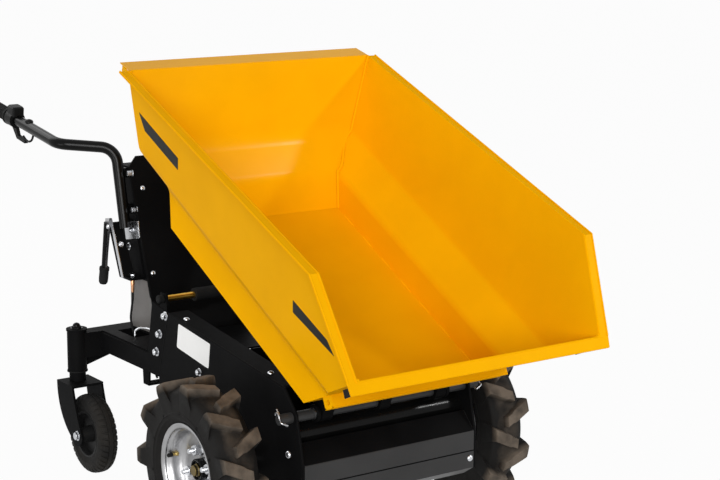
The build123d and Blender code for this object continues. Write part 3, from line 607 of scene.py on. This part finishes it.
def castor(side, name):
    """Tyre, axle nuts, swivel nut with its domed end, lower seal and upper rim of one castor."""
    wheel, fork = f"castor_wheel_{name}", f"castor_{name}"
    tyre = piece(f"road_tyre_{name}", wheel, tyre_black, [castor_tyre(side)], 28.0)
    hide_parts(f"castor_tyre_{name}")
    ends = []
    for leg in (-1, 1):
        outward = np.array([leg, 0.0, 0.0])
        leg_face = at(side * castor_x + leg * castor_leg_face, castor_y, castor_radius)
        ends.append(washer(leg_face, outward, *axle_washer))
        ends.append(hex_nut(leg_face + outward * mm * axle_nut_lift, outward, *axle_nut))
    piece(f"castor_axle_nuts_{name}", fork, zinc, ends)
    up = np.array([0.0, 0.0, 1.0])
    cap = at(side * castor_x, castor_swivel_y, swivel_top)
    crown = [hex_nut(cap, up, *swivel_nut)]
    crown.append(dome(cap + up * mm * swivel_dome_lift, up, *swivel_dome))
    crown.append(washer(cap - up * mm * swivel_washer_sink, up, *swivel_washer))
    piece(f"swivel_nut_{name}", "chassis", tube_black, crown)
    for ring, low, high, finish, slot in swivel_rings:
        section = [(0, ring_inner), (0, ring_outer), (high - low, ring_outer), (high - low, ring_inner)]
        foot = at(side * castor_x, castor_swivel_y, low)
        piece(f"{ring}_{name}", "chassis", finish, [turned(section, foot, up, 40, closed=True)])


# Skip: places on its walls come from the drawing's own corners
floor_half = 250.0
floor_v, floor_front_u, floor_rear_u = 66.0, -25.0, 643.0
crease_u, crease_v = 691.0, 150.0
kink = np.array([315.0, 765.0, 224.0])
rim_rear = np.array([353.0, 834.0, 409.0])
rim_front = np.array([367.0, -71.0, 488.0])
lip_u, lip_v = -256.0, 339.0
rim_flange = 24.0
upper_normal = np.cross(rim_rear - kink, rim_front - kink)

# Outlines on a side wall, as u and v, and of the gusset in its rear corner, as x, u and v
upper_stripe = [(770, 332), (562, 340), (560, 307), (736, 300)]
lower_stripe = [(14, 346), (-131, 352), (-164, 334), (9, 315)]
lip_mark = [(-231, 302), (-211, 278), (-222, 262), (-242, 286)]
rear_gusset = [(341, 880, 398), (350, 836, 407), (350, 830, 384), (342, 874, 377)]
mark_thickness, mark_edge = 0.7, 0.3
gusset_thickness = 2.5
fold_radius, hem_radius = 2.2, 2.0

# Weld beads stand off the corner they fill; the floor's are stitches
weld_inset = 4
bead_radius, bead_swell, bead_points = 3.2, 0.14, 160
front_welds = 8
stitch, stitch_pitch, stitch_radius = 46, 92, 2.8

# Front stiffener's place up the front wall and its depth, and the rear flange's two edges as x, u and v
stiffener_top, stiffener_width, stiffener_depth, stiffener_half = 112, 34, 27.6, 247
rear_hem_edge = (341, 882, 399.5)
rear_fold_edge = (350, 834, 409.5)


def side_x(u, v):
    """Distance of a side wall's outer face from the middle: the larger of the upright part's and the flare's,
    but no more than the upper wall's plane gives."""
    flare = floor_half + (kink[0] - floor_half) * (v - crease_v) / (kink[2] - crease_v)
    upper = kink[0] - (upper_normal[1] * (u - kink[1]) + upper_normal[2] * (v - kink[2])) / upper_normal[0]
    return np.minimum(np.maximum(floor_half, flare), upper)


def on_side(side, u, v, out=0.0):
    """A place on a side wall, moved out from its face."""
    return on_skip(side * (side_x(u, v) + out), u, v)


def skip_stripes(side, name):
    """Stripes and lip mark of one side: thin plates with rounded corners on the upper wall's plane."""
    x, u, v = unit(upper_normal) * np.sign(upper_normal[0])
    outward = on_skip(side * x, u, v) - on_skip(0.0, 0.0, 0.0)
    stripes = []
    for outline, radius in ((upper_stripe, 1.5), (lower_stripe, 1.5), (lip_mark, 2.0)):
        u, v = np.array(outline, float).T
        corners = rounded(on_side(side, u, v), radius, 3)
        stripes.append(plate(corners, outward, mark_thickness, mark_edge))
    piece(f"skip_stripe_{name}", "skip", stripe_black, stripes)


def skip_edges(side, name):
    """Rolled fold along one side's rim, hem along its flange, and the gusset in the rear corner."""
    edges = (("fold", 0.0, 0.0, fold_radius), ("hem", rim_flange - hem_radius, 1.0, hem_radius))
    for edge, reach, lift, radius in edges:
        line = [on_skip(side * (x + reach), u, v + lift) for x, u, v in (rim_rear, rim_front)]
        line.append(on_side(side, lip_u, lip_v + lift, reach))
        piece(f"skip_{edge}_{name}", "skip", yellow, edge_round(line, radius))
    gusset = rounded([on_skip(side * x, u, v) for x, u, v in rear_gusset], 2.0, 3)
    sheet = plate(gusset, (side, 0.0, 0.0), gusset_thickness)
    piece(f"skip_corner_{name}", "skip", yellow, [sheet])


def skip_welds(side, name):
    """Beads inside one side: a rippled tube up the rear bends, beads up the mitred front, and stitches along
    the floor."""
    corner = np.array([(floor_rear_u, floor_v), (crease_u - 6, crease_v - 8), (crease_u + 8, crease_v + 16),
                       (kink[1] - 14, kink[2] - 22), (kink[1] + 4, kink[2] + 14), (800, 318), rim_rear[1:]])
    u, v = smooth_path(corner, bead_points).T
    bend = on_skip(side * (side_x(u, v) - weld_inset), u - 5, v + weld_inset)
    swell = bead_radius * (1 + bead_swell * np.sin(np.arange(bead_points) * 1.9))
    seams = [tube(bend, swell, 8)]
    front = np.linspace((floor_front_u, floor_v), (lip_u, lip_v), front_welds + 1)
    for near, far in zip(front, front[1:]):
        ends = [on_skip(side * (side_x(u, v) - weld_inset), u + 3, v + 3) for u, v in (near, far)]
        seams.append(weld(*ends))
    inside = side * (floor_half - weld_inset)
    for start in np.arange(floor_front_u + 30, floor_rear_u - 40, stitch_pitch):
        ends = [on_skip(inside, u, floor_v + weld_inset) for u in (start, start + stitch)]
        seams.append(weld(*ends, radius=stitch_radius))
    piece(f"skip_welds_{name}", "skip", yellow, seams)


def skip_cross_folds():
    """Folds right across the skip: lip and lip flange, the stiffener's two edges, and the rear flange's hem
    and fold. Those in front are set by a distance up the front wall and another off its face."""
    front = np.array([lip_u - floor_front_u, lip_v - floor_v])
    length = np.linalg.norm(front)
    along = front / length
    out = np.array([-along[1], along[0]])
    half = side_x(lip_u, lip_v)
    low_edge = stiffener_top - stiffener_width
    folds = []
    for distance, off, reach, radius in (
        (length - 1.2, -0.6, half, 2.4),
        (length - 1.6, 25.0, half + 18, 1.9),
        (stiffener_top - 1.6, stiffener_depth, stiffener_half, 2.4),
        (low_edge + 1.6, stiffener_depth, stiffener_half, 2.4),
    ):
        u, v = np.array([floor_front_u, floor_v]) + distance * along + off * out
        folds.append(tube(np.stack([on_skip(-reach, u, v), on_skip(reach, u, v)]), radius, 12))
    piece("skip_lip_folds", "skip", yellow, folds)
    rear = []
    for (reach, u, v), radius in ((rear_hem_edge, 2.2), (rear_fold_edge, 2.6)):
        rear += edge_round([on_skip(-reach, u, v), on_skip(reach, u, v)], radius)
    piece("skip_rear_hem", "skip", yellow, rear)


# Chassis and tower: bolt places are y and z on a side's face, or x, y and z
plate_face = 250.0
rail_face = 244.0
plate_bolt, plate_bolt_flat = (231, 374), 6.5
plate_dome, plate_dome_size, plate_dome_sink = (-170, 271), (9.0, 7.0), 0.2
rail_bolts, rail_bolt_flat = ((409, 478), (439, 425), (456, 375)), 7.5

# Other domed bolts, on panel, flange and cover: the way they face, radius, height and places
domed_bolts = (
    ((0.0, -0.949, 0.315), 7.0, 4.0, [(120, 747.8, 744), (132, 675.4, 526)]),
    ((0.0, -0.123, 0.992), 8.0, 5.0, [(229, 329, 484.0), (229, -61, 435.7)]),
    ((0.0, -1.0, 0.0), 8.5, 5.0, [(233, -228, 190)]),
)

# Folded edges, each with its x, radius and line as y and z: over a side plate's top and nose, down its rear,
# and up the tower's panel
folded_edges = (
    (247.6, 2.9, [(385, 488.8), (-150, 422.4), (-199, 371), (-226.4, 256), (-226.4, 166), (-190, 141.6)]),
    (247.6, 2.9, [(385, 489), (435.6, 321), (419, 142)]),
    (147.8, 2.4, [(657.4, 466), (768.4, 799)]),
)

# Hinge shaft's middle, the rings on it, and the wire clip through its end
shaft_y, shaft_z = -180, 361
ring_x, collar_x, clip_x = 190, 180.5, 273
ring_section = [(0, 12.6), (0, 15), (2.5, 15), (2.5, 12.6)]
shaft_collar_section = [(0, 12.6), (0, 20), (1, 21), (8, 21), (9, 20), (9, 12.6)]
clip_wire = [
    (-156, 379), (-163, 372), (-172, 366), (-180, 361), (-189, 354), (-197, 349), (-202, 352), (-199, 358),
    (-190, 364), (-184, 375), (-176, 378), (-170, 371),
]
clip_loop_from, clip_loop_out = 7, 13.5
clip_radius = 1.7


def chassis_fastenings(side, name):
    """Bolts, folded edges and the shaft's rings and clip on one side of the chassis and tower."""
    outward = (side, 0.0, 0.0)
    bolts = hex_bolt(at(side * plate_face, *plate_bolt), outward, plate_bolt_flat)
    sunk = at(side * (plate_face - plate_dome_sink), *plate_dome)
    bolts.append(dome(sunk, outward, *plate_dome_size))
    for y, z in rail_bolts:
        bolts += hex_bolt(at(side * rail_face, y, z), outward, rail_bolt_flat)
    for direction, radius, height, places in domed_bolts:
        bolts += [dome(at(side * x, y, z), direction, radius, height) for x, y, z in places]
    piece(f"chassis_bolts_{name}", "chassis", zinc, bolts)
    edges = []
    for x, radius, line in folded_edges:
        edges += edge_round(at_x(side * x, line), radius)
    piece(f"chassis_edges_{name}", "chassis", gloss_black, edges)
    ring = turned(ring_section, at(side * ring_x, shaft_y, shaft_z), outward, 32, closed=True)
    piece(f"shaft_ring_{name}", "chassis", bare_steel, [ring])
    collar = turned(shaft_collar_section, at(side * collar_x, shaft_y, shaft_z), outward, 40, closed=True)
    piece(f"shaft_collar_{name}", "chassis", gloss_black, [collar])
    wire = at_x(side * clip_x, clip_wire)
    wire[clip_loop_from:, 0] += side * mm * clip_loop_out
    clip = tube(smooth_path(wire, 90), clip_radius, 8)
    piece(f"shaft_clip_{name}", "chassis", zinc, [clip])


# Sheets of the chassis: a darker sheet on the front cover's slanting top, painted shade, and the cover's seam,
# then the outlines of the sheet behind the batteries as x and z, and of the label's place as y and z
cover_top = [(-243, -187, 299), (243, -187, 299), (243, -226.6, 257.4), (-243, -226.6, 257.4)]
cover_slant = (0.0, -42.0, 40.0)
cover_seam, seam_radius = [(-243, -228, 208), (243, -228, 208)], 1.5
box_back_y = 392
box_back = [
    (-238, 143), (238, 143), (238, 309), (203, 309), (203, 360), (-203, 360), (-203, 309), (-238, 309),
]
label_outline = [(332, 475), (179, 456), (188, 392), (342, 413)]


def chassis_sheets():
    """Painted shade as a darker sheet on the front cover's top, the cover's seam, and the sheet that closes the
    battery box's back.
    """
    # This sheet's black is darker than the cover's own: painted shade on the top face
    sheet = plate(rounded(at(*np.transpose(cover_top)), 3.0), cover_slant, 0.8)
    piece("cover_top_painted_shade", "chassis", gloss_black, [sheet])
    seam = tube(at(*np.transpose(cover_seam)), seam_radius, 12)
    piece("cover_seam", "chassis", gloss_black, [seam])
    wall = plate([at(x, box_back_y, z) for x, z in box_back], (0.0, 1.0, 0.0), 3.0)
    piece("battery_box_back", "chassis", gloss_black, [wall])


def label_place():
    """Blank white plate on the right side plate."""
    corners = rounded(at_x(-plate_face, label_outline), 5.0)
    piece("label_place", "chassis", label_white, [plate(corners, (-1.0, 0.0, 0.0), 0.6, 0.25)])


# Handles: the knee, the ends of the upright below it, and what sits along the rising tube behind it
handle_x, knee_y, knee_z = 300, 881, 861
handle_rise = np.array([0.0, 1.0, 0.14])
upright_y, upright_z = (752.0, 797.0), (640.0, 850.0)
ear_x, ear_heights, ear_steps = 146, (690.0, 785.0), (-26, 26)
ear_bolt, ear_nut, ear_nut_lift = (6.5, 8.0), (6.5, 6.0), 9.5
clamp_y, grip_y = 1150, 1175
cap_along, cap_lift, cap_size = 176, 13.5, (12.0, 8.5)
block_corners = [(-17, -27), (17, -27), (17, 14), (-17, 14)]
block_lift, block_height, block_edge = 11, 27.0, 4.0
pull_wire = [(1096, 856), (1080, 848), (1062, 845), (1044, 851), (1032, 866)]
pull_wire_radius = 3.0
rib_from, rib_to, rib_pitch = 8.0, 124.0, 7.5
rib_middle, rib_depth, rib_steepness = 18.2, 1.3, 2.2
grip_mouth, grip_end = [(7, 17)], [(125.5, 15), (126.5, 8), (126.8, 0)]


def handle_details(side, name):
    """Bolts of one handle, its control block with cap and pull wire, and the grip, whose ribs are a clipped
    sine wave of the radius along its length."""
    outward = np.array([side, 0.0, 0.0])
    nuts = []
    for height in ear_heights:
        y = np.interp(height, upright_z, upright_y)
        for step in ear_steps:
            ear = at(side * ear_x, y + step, height)
            nuts += hex_bolt(ear, outward, *ear_bolt)
            nuts.append(hex_nut(ear + outward * mm * ear_nut_lift, outward, *ear_nut))
    knee = at(side * handle_x, knee_y, knee_z)
    over = (0.0, -handle_rise[2], 1.0)
    clamp = knee + mm * (clamp_y - knee_y) * handle_rise
    block = [clamp + mm * np.array([x, y, block_lift + handle_rise[2] * y]) for x, y in block_corners]
    body = plate(rounded(block, 6.0), over, block_height, block_edge)
    cap = dome(knee + mm * (cap_along * handle_rise + np.array([0, 0, cap_lift])), over, *cap_size)
    wire = smooth_path(at_x(side * handle_x, pull_wire), 48)
    control = [body, cap, tube(wire, pull_wire_radius, 12)]
    piece(f"handle_control_{name}", "chassis", plastic_black, control)
    piece(f"handle_bolts_{name}", "chassis", zinc, nuts)
    grip_start = knee + mm * (grip_y - knee_y) * handle_rise
    place = np.linspace(rib_from, rib_to, 120)
    rib = rib_middle + rib_depth * np.clip(rib_steepness * np.sin(place * 2 * pi / rib_pitch), -1, 1)
    section = grip_mouth + list(zip(place, rib)) + grip_end
    ribs = turned(section, grip_start, handle_rise, 40)
    piece(f"grip_ribs_{name}", "chassis", soft_black, [ribs])


# Parking brake on the tower's right: each plate's x, thickness and outline as y and z, and the web between
brake_sheets = (
    (-152, 3.0, [(792, 648), (712, 664), (706, 618), (782, 602)]),
    (-192, 1.6, [(789, 664), (801, 661), (739, 508), (727, 511)]),
)
brake_web = [(-192, 788, 652), (-168, 788, 652), (-160, 728, 509), (-192, 728, 509)]
web_outward = np.array([0.0, -0.922, 0.387])
web_bolt = (-181, 763, 594)
brake_pivot = (-200, 800, 640)
base_bolts = (((-152, 770, 585), 6.5), ((-155, 745, 634), 5.5))
cable_x, cable_y = -169, 722
cable_nut_heights = (509, 520)
adjuster_z = 503
adjuster_section = [(0, 0), (0, 5.0), (2, 5.6), (14, 5.6), (15, 4.6), (30, 4.2), (33, 3.4), (33, 0)]
cable_sleeve = [(704, 340.7), (650, 321.5)]
lever_shank = [(-200, 803, 650), (-197, 829, 522)]
lever_knob = (-197, 830, 518)
lever_lean = (0.0, 9.0, -42.0)
knob_section = [
    (-6, 0), (-6, 11.5), (-4, 13.6), (4, 13.8), (5, 12.6), (26, 12.9), (38, 12.2), (43, 9.5), (45, 0),
]


def brake_details():
    """Plates, bolts, cable adjuster and sleeve, web, lever sleeve and lever grip of the parking brake."""
    outward = (-1.0, 0.0, 0.0)
    down = (0.0, 0.0, -1.0)
    plates = [plate(rounded(at_x(x, outline), 4.0), outward, thick) for x, thick, outline in brake_sheets]
    piece("brake_plates", "chassis", zinc, plates)
    heads = [dome(at(*brake_pivot), outward, 8.0, 5.0)]
    for place, flat in base_bolts:
        heads += hex_bolt(at(*place), outward, flat)
    heads += [hex_nut(at(cable_x, cable_y, z), down, 8.0, 5.0) for z in cable_nut_heights]
    piece("brake_bolts", "chassis", zinc, heads)
    adjuster = turned(adjuster_section, at(cable_x, cable_y, adjuster_z), down, 24)
    sleeve = tube(at_x(cable_x, cable_sleeve), 4.6, 16)
    piece("cable_adjuster", "chassis", copper, [adjuster, sleeve])
    web = plate(rounded(at(*np.transpose(brake_web)), 3.0), web_outward, 3.0)
    piece("brake_web", "chassis", gloss_black, [web])
    stud = at(*web_bolt) + web_outward * mm * 3
    piece("brake_web_bolt", "chassis", zinc, hex_bolt(stud, web_outward, 5.0, 4.0))
    shank = tube(at(*np.transpose(lever_shank)), 8.2, 24)
    piece("brake_lever_sleeve", "chassis", tube_black, [shank])
    knob = turned(knob_section, at(*lever_knob), lever_lean, 32)
    piece("brake_lever_grip", "chassis", soft_black, [knob])


# Tower's foot: grey sheets on its sides as y and z, a painted reflection; the cable's wire guide hoop; the latch
# rod
reflection_sheet_x = 145.8
reflection_sheet_outline = [(628, 366), (775, 366), (775, 504), (672, 504)]
guide_hoop = [
    (-196, 664, 365.5), (-194, 664, 380), (-184, 656, 387), (-170, 642, 387), (-160, 630, 380),
    (-158, 625, 365.5),
]
latch_y, latch_z = 525, 492
latch_ring_places = (-180, 176)
latch_ring_section = [(0, 8.4), (0, 10.0), (0.8, 10.6), (3.2, 10.6), (4, 10.0), (4, 8.4)]
latch_end_x = 187
latch_end_section = [(0, 8.6), (0, 10.6), (1, 11.4), (13, 11.0), (15.6, 9.0), (16, 0)]


def tower_foot():
    """Grey sheets low on the tower's sides, a painted reflection, and the hoop that guides the brake cable, a wire
    along a smooth path.
    """
    # A grey sheet on each side of the black housing: painted reflection of the floor
    for side, name in ((-1, "right"), (1, "left")):
        cover = rounded(at_x(side * reflection_sheet_x, reflection_sheet_outline), 4.0)
        sheet = plate(cover, (side, 0.0, 0.0), 1.2)
        piece(f"tower_side_reflection_{name}", "chassis", painted_reflection_grey, [sheet])
    hoop = smooth_path(at(*np.transpose(guide_hoop)), 60)
    piece("cable_guide", "chassis", zinc, [tube(hoop, 2.4, 10)])


def latch_details():
    """Rings and end collars on the latch rod."""
    rings = [turned(latch_ring_section, at(x, latch_y, latch_z), (1.0, 0.0, 0.0), 32, closed=True)
             for x in latch_ring_places]
    piece("latch_rings", "chassis", gold_zinc, rings)
    ends = [turned(latch_end_section, at(side * latch_end_x, latch_y, latch_z), (side, 0.0, 0.0), 32)
            for side in (-1, 1)]
    piece("latch_ends", "chassis", soft_black, ends)


for side, name in ((1, "left"), (-1, "right")):
    drive_wheel(side, name)
    castor(side, name)
    skip_stripes(side, name)
    skip_edges(side, name)
    skip_welds(side, name)
    chassis_fastenings(side, name)
    handle_details(side, name)
skip_cross_folds()
chassis_sheets()
label_place()
brake_details()
tower_foot()
latch_details()

# Studio: pale floor, soft lamps, and the camera of the picture
floor_size = 60.0
floor_grey = 0.5
floor_glow = 0.96
ambient_light = 0.24
lamp_aim = (0.0, 0.0, 0.5)

# Lamps: name, kind, strength, size in metres or the sun's width as an angle, and place
lamps = (
    ("key_lamp", "SUN", 2.5, radians(32.0), (-2.7, -4.0, 1.75)),
    ("side_lamp", "AREA", 32.0, 1.6, (-3.6, -0.6, 0.45)),
    ("bend_lamp", "AREA", 28.0, 0.24, (2.30, -2.98, 1.97)),
    ("back_lamp", "AREA", 70.0, 3.0, (-1.0, 3.8, 3.4)),
)

# Camera: place from the drive axle's foot in mm, then turn, tilt down and roll in degrees, and lens in mm
camera_place = (-2439.5, -3561.0, 1584.5)
camera_turn, camera_tilt, camera_roll = -35.122, 11.390, 0.319
camera_lens, camera_film = 92.23, 36.0


def shown_directly(tree, usual, direct, output, share=1.0):
    """Puts two surfaces on the output: the direct one, by its share, where a ray comes from the camera, a
    mirror-like surface or through glass, and the usual one elsewhere."""
    nodes, links = tree.nodes, tree.links
    path = nodes.new("ShaderNodeLightPath")
    seen = path.outputs["Is Camera Ray"]
    for ray in ("Is Glossy Ray", "Is Transmission Ray"):
        either = nodes.new("ShaderNodeMath")
        either.operation = "MAXIMUM"
        links.new(seen, either.inputs[0])
        links.new(path.outputs[ray], either.inputs[1])
        seen = either.outputs["Value"]
    part = nodes.new("ShaderNodeMath")
    part.operation = "MULTIPLY"
    part.inputs[1].default_value = share
    mix = nodes.new("ShaderNodeMixShader")
    links.new(seen, part.inputs[0])
    links.new(part.outputs["Value"], mix.inputs["Fac"])
    links.new(usual, mix.inputs[1])
    links.new(direct, mix.inputs[2])
    links.new(mix.outputs["Shader"], nodes[output].inputs["Surface"])


def aimed(place, aim):
    """A turn and place that look from place towards aim."""
    away = unit(np.subtract(place, aim))
    across = unit(np.cross((0.0, 0.0, 1.0), away))
    line = Matrix(np.stack([across, np.cross(away, across), away], axis=1).tolist()).to_4x4()
    line.translation = place
    return line


def pale_floor():
    """A pale floor that keeps the shadow and shows nearly white where it is seen directly."""
    bpy.ops.mesh.primitive_grid_add(x_subdivisions=8, y_subdivisions=8, size=floor_size)
    floor = bpy.context.object
    floor.name = "studio_floor"
    pale = material("studio_floor", grey(floor_grey), 0.9)
    tree = pale.node_tree
    usual = tree.nodes["Principled BSDF"].outputs["BSDF"]
    glow = tree.nodes.new("ShaderNodeEmission").outputs["Emission"]
    shown_directly(tree, usual, glow, "Material Output", floor_glow)
    floor.data.materials.append(pale)


def white_surround():
    """A surround that is white where it is seen directly and gives a low even light elsewhere."""
    world = bpy.data.worlds.new("studio_surround")
    bpy.context.scene.world = world
    world.use_nodes = True
    tree = world.node_tree
    ambient = tree.nodes["Background"]
    white = tree.nodes.new("ShaderNodeBackground")
    for light, strength in ((ambient, ambient_light), (white, 1.0)):
        light.inputs["Color"].default_value = (1.0, 1.0, 1.0, 1.0)
        light.inputs["Strength"].default_value = strength
    shown_directly(tree, ambient.outputs["Background"], white.outputs["Background"], "World Output")


def soft_lamps():
    """The lamps, each turned towards the middle of the machine."""
    for name, kind, strength, size, place in lamps:
        lamp = bpy.data.lights.new(name, kind)
        lamp.energy = strength
        if kind == "SUN":
            lamp.angle = size
        else:
            lamp.size = size
        holder = bpy.data.objects.new(name, lamp)
        bpy.context.scene.collection.objects.link(holder)
        holder.matrix_world = aimed(place, lamp_aim)


def picture_camera():
    """The picture's camera: its place, turn, tilt, roll and long lens."""
    lens = bpy.data.cameras.new("picture_camera")
    lens.sensor_width = camera_film
    lens.lens = camera_lens
    lens.clip_end = 100.0
    holder = bpy.data.objects.new("picture_camera", lens)
    bpy.context.scene.collection.objects.link(holder)
    turn = Matrix.Rotation(radians(camera_turn), 4, "Z")
    tilt = Matrix.Rotation(radians(90.0 - camera_tilt), 4, "X")
    roll = Matrix.Rotation(radians(camera_roll), 4, "Z")
    holder.matrix_world = Matrix.Translation(at(*camera_place)) @ turn @ tilt @ roll
    bpy.context.scene.camera = holder


pale_floor()
white_surround()
soft_lamps()
picture_camera()
bpy.context.scene.view_settings.view_transform = "Standard"
